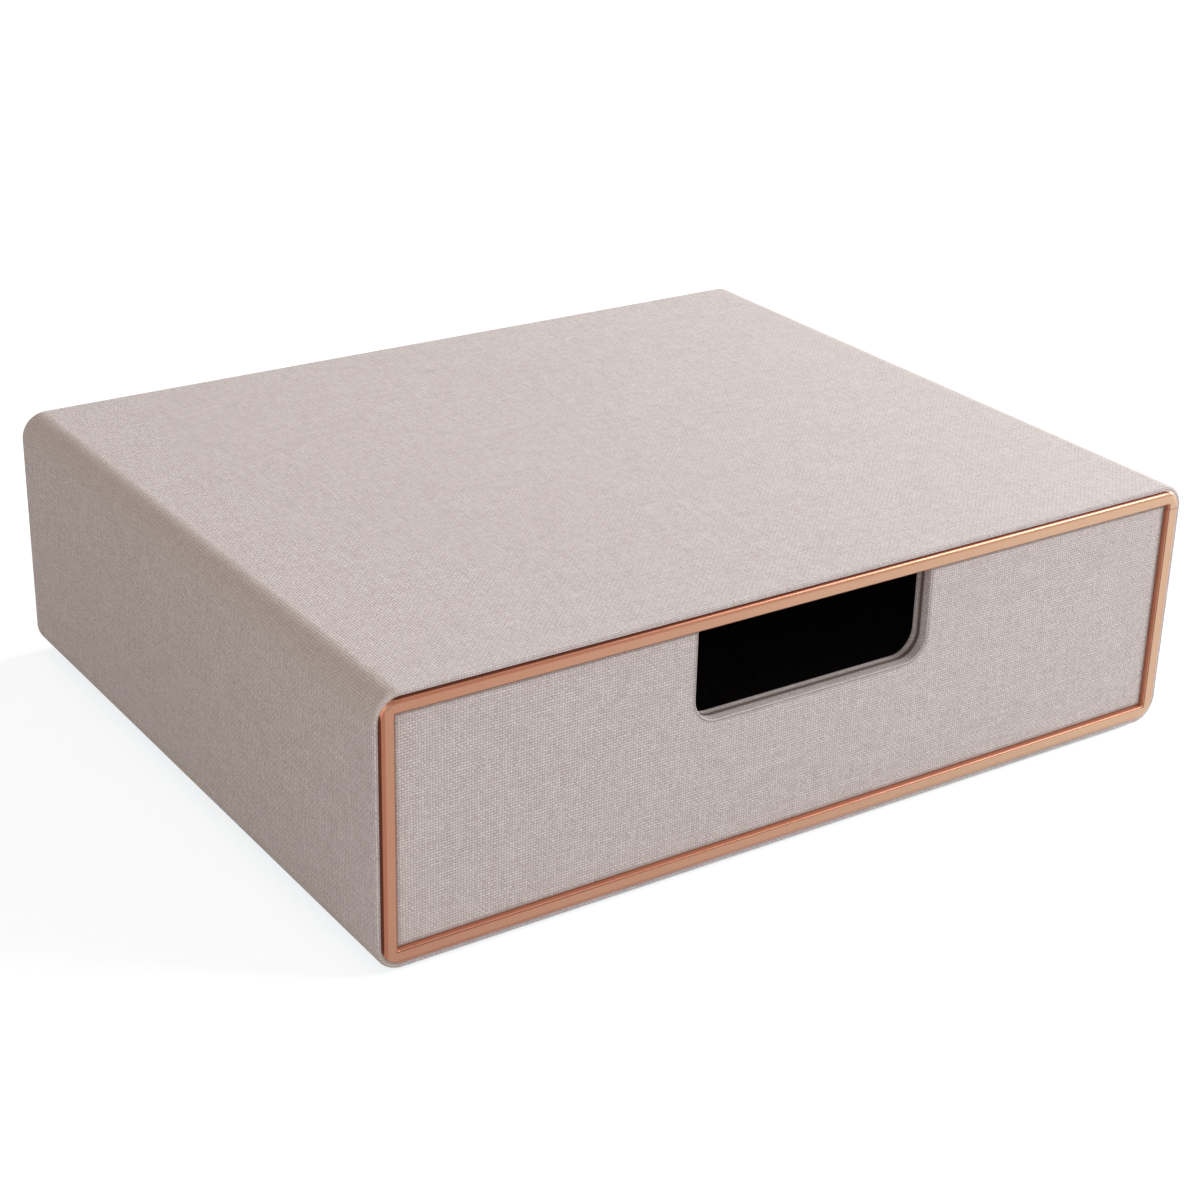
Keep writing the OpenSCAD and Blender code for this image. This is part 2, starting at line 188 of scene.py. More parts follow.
board_light = (0.46, 0.32, 0.20, 1)
board_dark = (0.33, 0.215, 0.125, 1)
board_speck = (0.17, 0.10, 0.055, 1)
board_fibre = 0.0009
board_relief = 0.00005

fibreboard, tree, shader = new_finish("fibreboard")
pressed = use_group(tree, fibres, Place=object_place(tree), Size=board_fibre)
shade = blend_colour(tree, pressed.outputs["Fibre"], board_dark, board_light)
shade = blend_colour(tree, calc(tree, "MULTIPLY", pressed.outputs["Speck"], 0.6), shade, board_speck)
shade = blend_colour(tree, calc(tree, "MULTIPLY", pressed.outputs["Blotch"], 0.25), shade, board_dark)
feed(tree, shader.inputs["Base Color"], shade)
feed(tree, shader.inputs["Roughness"], spread(tree, pressed.outputs["Fibre"], 0.0, 1.0, 0.88, 0.7))
raise_surface(tree, shader, pressed.outputs["Fibre"], board_relief)

for board in ("case_top_board", "case_bottom_board", "case_left_board", "case_right_board",
              "case_back_board"):
    dress(board, fibreboard)


# ---------------------------------------------------------------- brads of the case
# Plain steel brads hold the boards while the glue sets. They are driven in flush, and
# the cloth covers their heads.

steel_colour = (0.56, 0.56, 0.57, 1)
steel_dull = (0.36, 0.34, 0.33, 1)
steel_grain = 0.0003
steel_relief = 0.00001

brad_steel, tree, shader = new_finish("brad_steel")
drawn = use_group(tree, fibres, Place=object_place(tree), Size=steel_grain)
feed(tree, shader.inputs["Base Color"],
     blend_colour(tree, drawn.outputs["Blotch"], steel_colour, steel_dull))
feed(tree, shader.inputs["Roughness"], spread(tree, drawn.outputs["Fibre"], 0.0, 1.0, 0.28, 0.5))
shader.inputs["Metallic"].default_value = 1.0
raise_surface(tree, shader, drawn.outputs["Fibre"], steel_relief)

dress("case_brads", brad_steel)


# ---------------------------------------------------------------- lining of the case
# Black paper glued to the inside of the case, from the back wall to the leg of the
# metal frame. The drawer slides on it.

paper_black = (0.020, 0.018, 0.017, 1)
paper_grey = (0.040, 0.036, 0.034, 1)
paper_grain = 0.0007
paper_relief = 0.00004

black_paper, tree, shader = new_finish("black_paper")
pulp = use_group(tree, fibres, Place=object_place(tree), Size=paper_grain)
shade = blend_colour(tree, pulp.outputs["Fibre"], paper_black, paper_grey)
shade = blend_colour(tree, calc(tree, "MULTIPLY", pulp.outputs["Blotch"], 0.4), shade, paper_black)
feed(tree, shader.inputs["Base Color"], shade)
feed(tree, shader.inputs["Roughness"], spread(tree, pulp.outputs["Blotch"], 0.0, 1.0, 0.9, 0.74))
raise_surface(tree, shader, pulp.outputs["Fibre"], paper_relief)

dress("case_lining", black_paper)


# ---------------------------------------------------------------- cloth round the case
# One piece of linen-look cloth goes round the four boards, with its join under the
# case. It is glued down all over and turned over the front and back ends.

cloth_t = 0.0005
case_edge_r = 0.0095
case_arris_r = 0.001
front_turn_in = 0.0048
back_turn_in = 0.007

wrap_low, wrap_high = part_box("case_wrap")
wrap_size = wrap_high - wrap_low
wrap_middle = (wrap_low + wrap_high) / 2

# aligned is the cosine above which two directions count as one, and hair is a length that
# is too small to matter.
depth_axis = 1
height_axis = 2
aligned = 0.999
hair = 1e-6


def new_block(low, high):
    """A bmesh of a plain block between two corners."""
    bm = bmesh.new()
    bmesh.ops.create_cube(bm, size=1.0)
    bmesh.ops.scale(bm, vec=Vector(high) - Vector(low), verts=bm.verts)
    bmesh.ops.translate(bm, vec=(Vector(low) + Vector(high)) / 2, verts=bm.verts)
    return bm


def round_over(bm, geometry, radius, segments, affect="EDGES"):
    """Rounds edges, or the corners of an outline, to a radius."""
    bmesh.ops.bevel(bm, geom=geometry, offset=radius, offset_type="OFFSET", segments=segments,
                    profile=0.5, affect=affect, material=-1)


def edges_along(bm, axis):
    """The edges parallel to an axis."""
    return [e for e in bm.edges
            if abs((e.verts[1].co - e.verts[0].co).normalized()[axis]) > aligned]


def flat_faces(bm, axis, sign):
    """The faces that look squarely along an axis."""
    bm.normal_update()
    return [f for f in bm.faces if f.normal[axis] * sign > aligned]


def rim(faces):
    """The edges round a patch of faces."""
    patch = set(faces)
    return [e for f in faces for e in f.edges if sum(g in patch for g in e.link_faces) == 1]


def new_piece(name, bm, finish, body, node, wall=None):
    """Turns a bmesh into a piece that stands for a CAD node and rides on its body."""
    mesh = bpy.data.meshes.new(name)
    bm.to_mesh(mesh)
    bm.free()
    mesh.shade_smooth()
    mesh.materials.append(finish)
    piece = bpy.data.objects.new(name, mesh)
    bpy.context.scene.collection.objects.link(piece)
    if wall:
        skin = piece.modifiers.new("cloth_thickness", "SOLIDIFY")
        skin.thickness = wall
        skin.offset = -1.0
    piece.modifiers.new("flat_faces_stay_flat", "WEIGHTED_NORMAL").keep_sharp = True
    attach(piece, body)
    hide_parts(node)
    return piece


def across_wrap(x, z):
    """Length round the case from the middle of its top, and distance in from its outline."""
    core_x = wrap_size.x / 2 - case_edge_r
    core_z = wrap_size.z / 2 - case_edge_r
    corner = case_edge_r * math.pi / 2
    past_x = abs(x - wrap_middle.x) - core_x
    past_z = abs(z - wrap_middle.z) - core_z
    below = z < wrap_middle.z
    if past_x > 0 and past_z > 0:
        turn = case_edge_r * math.atan2(past_x, past_z)
        length = core_x + (2 * corner + 2 * core_z - turn if below else turn)
        return length, case_edge_r - math.hypot(past_x, past_z)
    if past_z > past_x:
        flat = core_x + past_x
        length = 2 * (core_x + corner + core_z) - flat if below else flat
        return length, case_edge_r - past_z
    return core_x + corner + core_z - (z - wrap_middle.z), case_edge_r - past_x


def lay_wrap_cloth(bm):
    """Unrolls the cloth of the case, in metres, and marks where it goes round an edge."""
    lay = bm.loops.layers.uv.new("cloth")
    bent = bm.verts.layers.float.new("bent")
    for face in bm.faces:
        side = 1 if face.calc_center_median().x > wrap_middle.x else -1
        for corner in face.loops:
            x, y, z = corner.vert.co
            round_case, inwards = across_wrap(x, z)
            corner[lay].uv = (side * round_case, y + math.copysign(inwards, y - wrap_middle.y))
    for vert in bm.verts:
        x, y, z = vert.co
        over_x = abs(x - wrap_middle.x) > wrap_size.x / 2 - case_edge_r + hair
        over_z = abs(z - wrap_middle.z) > wrap_size.z / 2 - case_edge_r + hair
        vert[bent] = 1.0 if over_x and over_z else 0.0


# Plain weave: each thread is a low arch that goes over one crossing thread and under
# the next. The threads wander, and each thread and each crossing has its own tone. The
# sizes here are in widths of a thread, and the shares are those of the cloth's tone.
wander_scale = 0.13
thread_rise = 0.28
tone_drift = 0.07
tone_step = 7.31
thread_share = 0.4
crossing_share = 0.35
weft_share = 0.25

weave, weave_in, weave_out = new_group(
    "plain_weave",
    [("Place", "NodeSocketVector", None), ("Pitch", "NodeSocketFloat", 0.001),
     ("Wander", "NodeSocketFloat", 0.5)],
    ["Height", "Tone", "Streak"],
)
straight = calc_vector(weave, "SCALE", weave_in.outputs["Place"],
                       calc(weave, "DIVIDE", 1.0, weave_in.outputs["Pitch"]))
drift = weave.nodes.new("ShaderNodeTexNoise")
drift.inputs["Scale"].default_value = wander_scale
drift.inputs["Detail"].default_value = 3.0
weave.links.new(straight, drift.inputs["Vector"])
drift_off = calc_vector(weave, "SCALE",
                        calc_vector(weave, "SUBTRACT", drift.outputs["Color"], (0.5, 0.5, 0.5)),
                        weave_in.outputs["Wander"])
threads_at = calc_vector(weave, "ADD", straight, drift_off)
threads = weave.nodes.new("ShaderNodeSeparateXYZ")
weave.links.new(threads_at, threads.inputs["Vector"])


def thread_set(across, along, phase, seed):
    """Height and tone of the threads that are counted by across and run along the other way."""
    number = calc(weave, "FLOOR", across)
    part = calc(weave, "FRACT", across)
    arch = calc(weave, "MULTIPLY", calc(weave, "MULTIPLY", part, 4.0), calc(weave, "SUBTRACT", 1.0, part))
    turn = calc(weave, "MULTIPLY", calc(weave, "ADD", calc(weave, "ADD", along, number), phase), math.pi)
    over_under = calc(weave, "MULTIPLY_ADD", calc(weave, "COSINE", turn), thread_rise, 1.0 - thread_rise)
    spot = weave.nodes.new("ShaderNodeCombineXYZ")
    feed(weave, spot.inputs["X"], calc(weave, "MULTIPLY", number, tone_step))
    feed(weave, spot.inputs["Y"], calc(weave, "MULTIPLY", along, tone_drift))
    spot.inputs["Z"].default_value = seed
    return calc(weave, "MULTIPLY", arch, over_under), noise(weave, spot.outputs["Vector"], 1.0)


warp_height, warp_tone = thread_set(threads.outputs["X"], threads.outputs["Y"], -0.5, 3.0)
weft_height, weft_tone = thread_set(threads.outputs["Y"], threads.outputs["X"], 0.5, 17.0)
weft_on_top = calc(weave, "GREATER_THAN", weft_height, warp_height)
weave.links.new(calc(weave, "MAXIMUM", warp_height, weft_height), weave_out.inputs["Height"])
top_tone = weave.nodes.new("ShaderNodeMix")
feed(weave, top_tone.inputs["Factor"], weft_on_top)
feed(weave, top_tone.inputs[2], warp_tone)
feed(weave, top_tone.inputs[3], weft_tone)
crossing = weave.nodes.new("ShaderNodeTexWhiteNoise")
crossing.noise_dimensions = "2D"
weave.links.new(calc_vector(weave, "FLOOR", threads_at), crossing.inputs["Vector"])
thread_part = calc(weave, "MULTIPLY", spread(weave, top_tone.outputs[0], 0.25, 0.75), thread_share)
crossing_part = calc(weave, "MULTIPLY_ADD", crossing.outputs["Value"], crossing_share, thread_part)
weave.links.new(calc(weave, "MULTIPLY_ADD", weft_on_top, weft_share, crossing_part), weave_out.inputs["Tone"])
weave.links.new(spread(weave, calc(weave, "MAXIMUM", warp_tone, weft_tone), 0.66, 0.78),
                weave_out.inputs["Streak"])

linen_light = (0.93, 0.92, 0.94, 1)
linen_dark = (0.60, 0.565, 0.57, 1)
# The darker threads and the painted shade between threads share one colour.
linen_streak_and_gap_shade = (0.30, 0.265, 0.265, 1)
linen_bent = (0.66, 0.60, 0.52, 1)
linen_painted_shade = (0.14, 0.105, 0.09, 1)
linen_pitch = 0.00097
linen_relief = 0.00018

linen, tree, shader = new_finish("linen_cloth")
laid = tree.nodes.new("ShaderNodeUVMap")
laid.uv_map = "cloth"
woven = use_group(tree, weave, Place=laid.outputs["UV"], Pitch=linen_pitch)
shade = blend_colour(tree, woven.outputs["Tone"], linen_dark, linen_light)
shade = blend_colour(tree, calc(tree, "MULTIPLY", woven.outputs["Streak"], 0.2), shade, linen_streak_and_gap_shade)
# Painted shade between the threads: darker where the threads dip into the gaps.
thread_gap_shade = spread(tree, woven.outputs["Height"], 0.0, 0.8, 0.9, 0.0)
shade = blend_colour(tree, thread_gap_shade, shade, linen_streak_and_gap_shade)
bend = tree.nodes.new("ShaderNodeAttribute")
bend.attribute_name = "bent"
shade = blend_colour(tree, calc(tree, "MULTIPLY", bend.outputs["Fac"], 0.3), shade, linen_bent)
# Painted shade from a vertex attribute: darker in the groove on the walls of the notch and in a ring round
# the edges of the drawer front's face.
painted_shade = tree.nodes.new("ShaderNodeAttribute")
painted_shade.attribute_name = "painted_shade"
shade = blend_colour(tree, spread(tree, painted_shade.outputs["Fac"], 0.0, 0.7, 0.0, 0.95), shade, linen_painted_shade)
feed(tree, shader.inputs["Base Color"], shade)
feed(tree, shader.inputs["Roughness"], spread(tree, woven.outputs["Height"], 0.0, 1.0, 0.95, 0.72))
shader.inputs["Sheen Weight"].default_value = 0.12
shader.inputs["Sheen Roughness"].default_value = 0.5
shader.inputs["Specular IOR Level"].default_value = 0.3
raise_surface(tree, shader, woven.outputs["Height"], linen_relief, 0.8)

bm = new_block(wrap_low, wrap_high)
round_over(bm, edges_along(bm, depth_axis), case_edge_r, 16)
for sign, turned in ((-1, front_turn_in), (1, back_turn_in)):
    end = flat_faces(bm, depth_axis, sign)
    end_rim = rim(end)
    bmesh.ops.inset_region(bm, faces=end, thickness=turned, use_even_offset=True)
    bmesh.ops.delete(bm, geom=end, context="FACES")
    round_over(bm, end_rim, case_arris_r, 5)
bmesh.ops.bisect_plane(bm, geom=bm.verts[:] + bm.edges[:] + bm.faces[:], dist=hair,
                       plane_co=wrap_middle, plane_no=(1, 0, 0))
lay_wrap_cloth(bm)
new_piece("case_wrap_cloth", bm, linen, "case", "case_wrap", cloth_t)


# ---------------------------------------------------------------- back cover
# A card covered in the same cloth is glued over the turned-in ends at the back. It is a
# little smaller than the case all round, and its cloth goes round its edges.

back_arris_r = 0.00025

card_low, card_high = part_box("back_cover")
card_r = case_edge_r - (card_low.x - wrap_low.x)
flat_tilt = 0.05


def lay_flat_cloth(bm, front_y):
    """Lays cloth flat over a panel and carries it round the panel's edges."""
    lay = bm.loops.layers.uv.new("cloth")
    bm.verts.layers.float.new("bent")
    bm.normal_update()
    for face in bm.faces:
        out = Vector((face.normal.x, 0, face.normal.z))
        out = out.normalized() if out.length > flat_tilt else out * 0
        for corner in face.loops:
            place = corner.vert.co + out * abs(corner.vert.co.y - front_y)
            corner[lay].uv = (place.x, place.z)


bm = new_block(card_low, card_high)
round_over(bm, edges_along(bm, depth_axis), card_r, 12)
round_over(bm, rim(flat_faces(bm, depth_axis, 1)), back_arris_r, 2)
lay_flat_cloth(bm, card_high.y)
new_piece("back_cover_cloth", bm, linen, "case", "back_cover")


# ---------------------------------------------------------------- metal frame
# A rose-gold strip of anodised aluminium is bent to an angle and then to a rounded
# rectangle. Its leg is glued in a rebate round the mouth. Light and shade are painted
# into its colour: a little paler towards the right, where more light falls; a painted
# reflection on the shoulder, dark on the left and golden on the right; a painted shadow
# along its outer edge against the cloth; painted shade on the inner arris; and inner
# faces painted lighter and redder for the light reflected in the mouth.

copper_shaded_left = (0.43, 0.222, 0.145, 1)
copper_lit_right = (0.50, 0.33, 0.22, 1)
bend_reflection_left = (0.35, 0.135, 0.08, 1)
bend_reflection_right = (0.46, 0.26, 0.165, 1)
copper_edge_shadow = (0.08, 0.02, 0.01, 1)
copper_arris_shade = (0.15, 0.05, 0.028, 1)
copper_inner_lit = (0.62, 0.26, 0.16, 1)
mouth_gap = 0.00035
film_size = 0.03
# The tones change between these distances in from the outline, or out from the mouth.
edge_shadow_fade = (0.000595, 0.00084)
bend_fade = (0.00161, 0.00215)
arris_shade_fade = (0.0006, 0.0004)
mouth_fade = (0.0002, 0.0001)

frame_low, frame_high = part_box("front_frame")
frame_size = frame_high - frame_low
bar_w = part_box("drawer_front_cover")[0].x - mouth_gap - frame_low.x

rose_gold, tree, shader = new_finish("rose_gold_strip")
place = object_place(tree)
from_middle = calc_vector(tree, "SUBTRACT", place, (frame_low + frame_high) / 2)
side = tree.nodes.new("ShaderNodeSeparateXYZ")
tree.links.new(from_middle, side.inputs["Vector"])
spot = tree.nodes.new("ShaderNodeSeparateXYZ")
tree.links.new(calc_vector(tree, "ABSOLUTE", from_middle), spot.inputs["Vector"])
inside = calc(tree, "MINIMUM", calc(tree, "SUBTRACT", frame_size.x / 2, spot.outputs["X"]),
              calc(tree, "SUBTRACT", frame_size.z / 2, spot.outputs["Z"]))
edge_shadow_mask = spread(tree, inside, *edge_shadow_fade, 1.0, 0.0)
bend_reflection_mask = spread(tree, inside, *bend_fade, 1.0, 0.0)
arris_shade_mask = spread(tree, inside, *[bar_w - out for out in arris_shade_fade], 0.0, 0.8)
in_mouth = spread(tree, inside, *[bar_w - out for out in mouth_fade])
film = noise(tree, place, film_size)
# Painted light: paler towards the right, where more light falls.
painted_light_to_right = spread(tree, side.outputs["X"], -frame_size.x / 2, frame_size.x / 2)
# Painted reflection on the shoulder of the bend: dark on the left, golden on the right.
painted_bend_reflection = blend_colour(tree, painted_light_to_right, bend_reflection_left, bend_reflection_right)
shade = blend_colour(tree, painted_light_to_right, copper_shaded_left, copper_lit_right)
shade = blend_colour(tree, calc(tree, "MULTIPLY", film, 0.3), shade, painted_bend_reflection)
shade = blend_colour(tree, bend_reflection_mask, shade, painted_bend_reflection)
# Painted shadow: a dark line along the outer edge, where the strip meets the cloth.
shade = blend_colour(tree, edge_shadow_mask, shade, copper_edge_shadow)
# Painted shade: a dark line on the inner arris, next to the mouth.
shade = blend_colour(tree, arris_shade_mask, shade, copper_arris_shade)
# The inner faces are painted lighter and redder for the light reflected in the mouth.
feed(tree, shader.inputs["Base Color"], blend_colour(tree, in_mouth, shade, copper_inner_lit))
satin = spread(tree, film, 0.3, 0.7, 0.25, 0.31)
feed(tree, shader.inputs["Roughness"], calc(tree, "MULTIPLY_ADD", in_mouth, 0.3, satin))
feed(tree, shader.inputs["Metallic"], calc(tree, "MULTIPLY_ADD", in_mouth, -0.5, 1.0))
shader.inputs["Coat Weight"].default_value = 0.15
shader.inputs["Coat Roughness"].default_value = 0.2

dress("front_frame", rose_gold)


# ---------------------------------------------------------------- base sheet
# A sheet of the same black paper covers the join of the cloth under the case. It is glued
# flat, a little in from the edges.

dress("base_sheet", black_paper)


# ---------------------------------------------------------------- feet
# Four round rubber pads, softly rounded at their edges, keep the case off the desk. They
# are stuck to the base sheet near its corners.

foot_edge_r = 0.0005
rubber_dark = (0.045, 0.045, 0.046, 1)
rubber_worn = (0.085, 0.083, 0.08, 1)
rubber_grain = 0.0005
rubber_relief = 0.00004

rubber, tree, shader = new_finish("foot_rubber")
grain = use_group(tree, fibres, Place=object_place(tree), Size=rubber_grain)
feed(tree, shader.inputs["Base Color"], blend_colour(tree, grain.outputs["Blotch"], rubber_dark, rubber_worn))
feed(tree, shader.inputs["Roughness"], spread(tree, grain.outputs["Fibre"], 0.0, 1.0, 0.6, 0.85))
raise_surface(tree, shader, grain.outputs["Fibre"], rubber_relief)


def new_disc(low, high, axis, edge_r, rim_signs):
    """A round pad between two corners, with the rims that look along axis rounded."""
    size = high - low
    bm = bmesh.new()
    bmesh.ops.create_cone(bm, cap_ends=True, segments=64, radius1=0.5, radius2=0.5, depth=1.0)
    if axis == depth_axis:
        bmesh.ops.rotate(bm, cent=(0, 0, 0), matrix=Matrix.Rotation(math.pi / 2, 3, "X"), verts=bm.verts)
    bmesh.ops.scale(bm, vec=size, verts=bm.verts)
    bmesh.ops.translate(bm, vec=(low + high) / 2, verts=bm.verts)
    for sign in rim_signs:
        round_over(bm, rim(flat_faces(bm, axis, sign)), edge_r, 4)
    return bm


for foot in ("foot_front_left", "foot_front_right", "foot_back_left", "foot_back_right"):
    foot_low, foot_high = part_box(foot)
    bm = new_disc(foot_low, foot_high, height_axis, foot_edge_r, (-1, 1))
    new_piece(foot + "_pad", bm, rubber, "case", foot)


# ---------------------------------------------------------------- bumpers
# Two discs cut from black felt stop the drawer softly when it is pushed home. They are
# glued to the paper on the back wall of the case.

bumper_edge_r = 0.0006
felt_black = (0.010, 0.0095, 0.009, 1)
felt_grey = (0.036, 0.034, 0.033, 1)
felt_fibre = 0.0011
felt_relief = 0.00015

felt, tree, shader = new_finish("black_felt")
wool = use_group(tree, fibres, Place=object_place(tree), Size=felt_fibre)
shade = blend_colour(tree, wool.outputs["Fibre"], felt_black, felt_grey)
shade = blend_colour(tree, calc(tree, "MULTIPLY", wool.outputs["Blotch"], 0.35), shade, felt_black)
feed(tree, shader.inputs["Base Color"], shade)
feed(tree, shader.inputs["Roughness"], spread(tree, wool.outputs["Fibre"], 0.0, 1.0, 1.0, 0.85))
shader.inputs["Sheen Weight"].default_value = 0.2
shader.inputs["Sheen Roughness"].default_value = 0.6
shader.inputs["Specular IOR Level"].default_value = 0.1
raise_surface(tree, shader, wool.outputs["Fibre"], felt_relief)

for bumper in ("rear_bumper_left", "rear_bumper_right"):
    bumper_low, bumper_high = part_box(bumper)
    bm = new_disc(bumper_low, bumper_high, depth_axis, bumper_edge_r, (-1,))
    new_piece(bumper + "_felt", bm, felt, "case", bumper)


# ---------------------------------------------------------------- drawer box
# The boards of the drawer are fibreboard faced with black paper, butted and glued, with
# small brads through the corners. More black paper lines the walls.

faced_rubbed = (0.048, 0.043, 0.040, 1)
rub_size = 0.006

faced_board, tree, shader = new_finish("paper_faced_board")
place = object_place(tree)
pulp = use_group(tree, fibres, Place=place, Size=paper_grain)
shade = blend_colour(tree, pulp.outputs["Fibre"], paper_black, paper_grey)
rubbed = spread(tree, noise(tree, place, rub_size, 4.0), 0.58, 0.8)
shade = blend_colour(tree, rubbed, shade, faced_rubbed)
feed(tree, shader.inputs["Base Color"], shade)
feed(tree, shader.inputs["Roughness"], spread(tree, pulp.outputs["Blotch"], 0.0, 1.0, 0.84, 0.77))
raise_surface(tree, shader, pulp.outputs["Fibre"], paper_relief)

for board in ("drawer_left_side", "drawer_right_side", "drawer_back", "drawer_floor",
              "drawer_inner_front"):
    dress(board, faced_board)
dress("drawer_brads", brad_steel)
dress("drawer_wall_liner", black_paper)


# ---------------------------------------------------------------- felt in the drawer
# A sheet of black felt, cut to fit between the walls, is glued to the floor of the drawer.
# The cut leaves its upper edge a little soft.

felt_edge_r = 0.0003

felt_low, felt_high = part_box("drawer_floor_liner")

bm = new_block(felt_low, felt_high)
round_over(bm, rim(flat_faces(bm, height_axis, 1)), felt_edge_r, 2)
new_piece("drawer_floor_felt", bm, felt, "drawer", "drawer_floor_liner")


# ---------------------------------------------------------------- binding of the notch
# A strip of the cloth is glued over the notch edge of the inner front board and turned
# down both its faces.

notch_corner_r = 0.009
notch_turn_in = 0.012
soft_edge_r = 0.001
groove_shade_reach = 0.0014
wall_reach = 0.0005
shade_reach = 0.0015

binding_low, binding_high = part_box("notch_binding")
cover_low, cover_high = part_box("drawer_front_cover")
notch_half = (binding_high.x - binding_low.x) / 2 - notch_turn_in
notch_floor = binding_low.z + notch_turn_in


def new_panel(outline, y_front, y_back, corners):
    """A slab with this outline, as (x, z) points; corners gives a radius for some of them."""
    bm = bmesh.new()
    points = [bm.verts.new((x, y_front, z)) for x, z in outline]
    bm.faces.new(points)
    for radius, picked in corners:
        round_over(bm, [points[k] for k in picked], radius, 10, "VERTICES")
    made = bmesh.ops.extrude_face_region(bm, geom=bm.faces[:])["geom"]
    moved = [v for v in made if isinstance(v, bmesh.types.BMVert)]
    bmesh.ops.translate(bm, vec=(0, y_back - y_front, 0), verts=moved)
    bmesh.ops.recalc_face_normals(bm, faces=bm.faces)
    return bm


def at_notch(x, z, reach):
    """True on the edge of the notch, or less than reach outside it."""
    return abs(x) < notch_half + reach and z > notch_floor - reach


def paint_groove_shade(bm):
    """Paints shade into the walls of the notch: 1 in the groove between its two layers, where shade falls,
    less away from it.
    """
    painted_shade = bm.verts.layers.float.new("painted_shade")
    for vert in bm.verts:
        x, y, z = vert.co
        in_groove = 1.0 - abs(y - cover_high.y) / groove_shade_reach
        vert[painted_shade] = in_groove if at_notch(x, z, shade_reach) else -1.0
    return painted_shade


strip = notch_half + notch_turn_in
outline = [(-strip, binding_high.z), (-strip, binding_low.z), (strip, binding_low.z),
           (strip, binding_high.z), (notch_half, binding_high.z), (notch_half, notch_floor),
           (-notch_half, notch_floor), (-notch_half, binding_high.z)]
bm = new_panel(outline, binding_low.y, binding_high.y,
               [(notch_corner_r + notch_turn_in, (1, 2)), (notch_corner_r, (5, 6))])
walls = [(f, f.calc_center_median()) for f in bm.faces if abs(f.normal.y) < aligned]
outer_walls = [f for f, place in walls
               if place.z > binding_high.z - hair or not at_notch(place.x, place.z, wall_reach)]
bmesh.ops.delete(bm, geom=outer_walls, context="FACES")
notch_rim = [e for e in bm.edges if not e.is_boundary and abs((e.verts[1].co - e.verts[0].co).y) < hair]
round_over(bm, notch_rim, soft_edge_r, 4)
lay_flat_cloth(bm, binding_low.y)
paint_groove_shade(bm)
new_piece("notch_binding_cloth", bm, linen, "drawer", "notch_binding", cloth_t)


# ---------------------------------------------------------------- drawer front
# The outer front board is covered in the cloth, which goes round its edges and those
# of the notch and is turned in behind, where the drawer box is glued on.

front_edge_r = 0.0004
# Width and strength of the painted shade round the rim of the drawer front's face.
rim_shade_width = 0.0015
rim_painted_shade = 0.4

dress("drawer_front_board", fibreboard)

outline = [(cover_low.x, cover_low.z), (cover_high.x, cover_low.z), (cover_high.x, cover_high.z),
           (notch_half, cover_high.z), (notch_half, notch_floor), (-notch_half, notch_floor),
           (-notch_half, cover_high.z), (cover_low.x, cover_high.z)]
bm = new_panel(outline, cover_low.y, cover_high.y, [(notch_corner_r, (4, 5))])
panel_corners = [e for e in edges_along(bm, depth_axis)
                 if max(abs(e.verts[0].co.x) - cover_high.x, e.verts[0].co.z - cover_high.z) > -hair]
panel_rims = rim(flat_faces(bm, depth_axis, -1)) + rim(flat_faces(bm, depth_axis, 1))
round_over(bm, panel_rims + panel_corners, front_edge_r, 4)
# A ring of painted shade round the edges of the face: a painted contact shadow of the frame along the rim,
# and painted shade along the edge of the notch.
bmesh.ops.inset_region(bm, faces=flat_faces(bm, depth_axis, -1), thickness=rim_shade_width, use_even_offset=True)
lay_flat_cloth(bm, cover_low.y)
painted_shade = paint_groove_shade(bm)
inner_face = max(flat_faces(bm, depth_axis, -1), key=lambda face: face.calc_area())
unshaded = set(inner_face.verts)
# The rim of the face gets the painted shade; its flat middle gets none.
for vert in bm.verts:
    if vert.co.y < cover_low.y + hair:
        vert[painted_shade] = 0.0 if vert in unshaded else rim_painted_shade
new_piece("drawer_front_cloth", bm, linen, "drawer", "drawer_front_cover", cloth_t)


# ---------------------------------------------------------------- room
# A pale floor that fades to white, its glow a little cool against the warm light from all
# round, soft lamps to the right, in front and to the left, and the photograph's camera.

floor_half = 6.0
floor_fade = 2.5
floor_shade = (0.62, 0.61, 0.60, 1)
floor_glow = (0.91, 0.967, 1.0, 1)
floor_lift = 0.77
white = (1, 1, 1, 1)

bm = bmesh.new()
bmesh.ops.create_grid(bm, x_segments=1, y_segments=1, size=floor_half)
floor_mesh = bpy.data.meshes.new("floor")
bm.to_mesh(floor_mesh)
bm.free()
floor = bpy.data.objects.new("floor", floor_mesh)
bpy.context.scene.collection.objects.link(floor)


def seen_directly(tree):
    """1 for what the camera sees, straight or in metal or glass."""
    ray = tree.nodes.new("ShaderNodeLightPath")
    seen = calc(tree, "MAXIMUM", ray.outputs["Is Camera Ray"], ray.outputs["Is Glossy Ray"])
    return calc(tree, "MAXIMUM", seen, ray.outputs["Is Transmission Ray"])


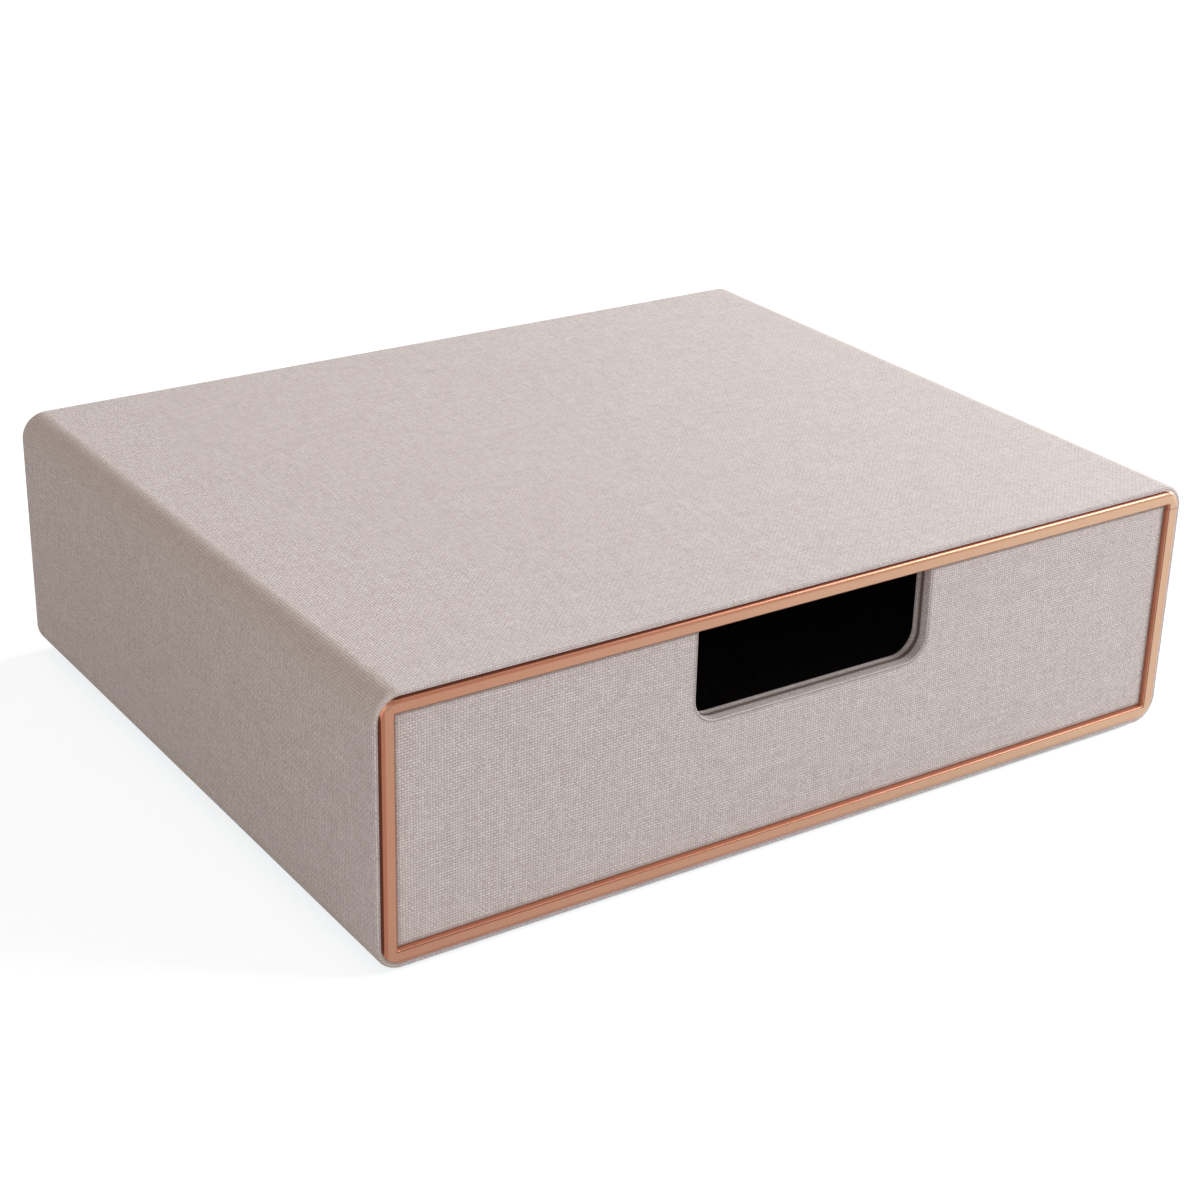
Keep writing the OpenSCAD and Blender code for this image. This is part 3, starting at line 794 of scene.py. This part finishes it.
floor_paint, tree, shader = new_finish("floor_paint")
feed(tree, shader.inputs["Base Color"], floor_shade)
shader.inputs["Roughness"].default_value = 0.9
shader.inputs["Specular IOR Level"].default_value = 0.0
shader.inputs["Emission Color"].default_value = floor_glow
fading = tree.nodes.new("ShaderNodeTexGradient")
fading.gradient_type = "SPHERICAL"
tree.links.new(calc_vector(tree, "SCALE", object_place(tree), 1.0 / floor_fade), fading.inputs["Vector"])
lift = spread(tree, fading.outputs["Fac"], 0.0, 0.6, 1.0, floor_lift)
feed(tree, shader.inputs["Emission Strength"], calc(tree, "MULTIPLY", seen_directly(tree), lift))
floor.data.materials.append(floor_paint)

ambient = 0.37
ambient_colour = (1.0, 0.79, 0.68, 1)
world = bpy.data.worlds.new("studio")
world.use_nodes = True
sky = world.node_tree.nodes["Background"]
seen = seen_directly(world.node_tree)
feed(world.node_tree, sky.inputs["Color"], blend_colour(world.node_tree, seen, ambient_colour, white))
feed(world.node_tree, sky.inputs["Strength"],
     calc(world.node_tree, "MULTIPLY_ADD", seen, 1.0 - ambient, ambient))
bpy.context.scene.world = world


def softbox(name, place, size, watts):
    """A square lamp that is turned towards the middle of the case."""
    lamp = bpy.data.lights.new(name, "AREA")
    lamp.shape = "SQUARE"
    lamp.size = size
    lamp.energy = watts
    box = bpy.data.objects.new(name, lamp)
    box.location = place
    box.rotation_euler = (wrap_middle - Vector(place)).to_track_quat("-Z", "Y").to_euler()
    bpy.context.scene.collection.objects.link(box)


softbox("right_light", place=(1.5, 0.1, 0.6), size=0.7, watts=20.8)
softbox("front_light", place=(1.28, -1.04, 0.95), size=0.6, watts=14.8)
softbox("left_light", place=(-1.3, -0.75, 0.6), size=1.0, watts=3.4)

camera_place = (-0.4588, -0.6790, 0.4114)
camera_turn = (65.382, -1.391, -33.730)
camera_lens = 72.18

camera_data = bpy.data.cameras.new("camera")
camera_data.lens = camera_lens
camera_data.sensor_width = 36.0
camera = bpy.data.objects.new("camera", camera_data)
camera.location = camera_place
camera.rotation_euler = [math.radians(angle) for angle in camera_turn]
bpy.context.scene.collection.objects.link(camera)
bpy.context.scene.camera = camera
bpy.context.scene.view_settings.view_transform = "Standard"
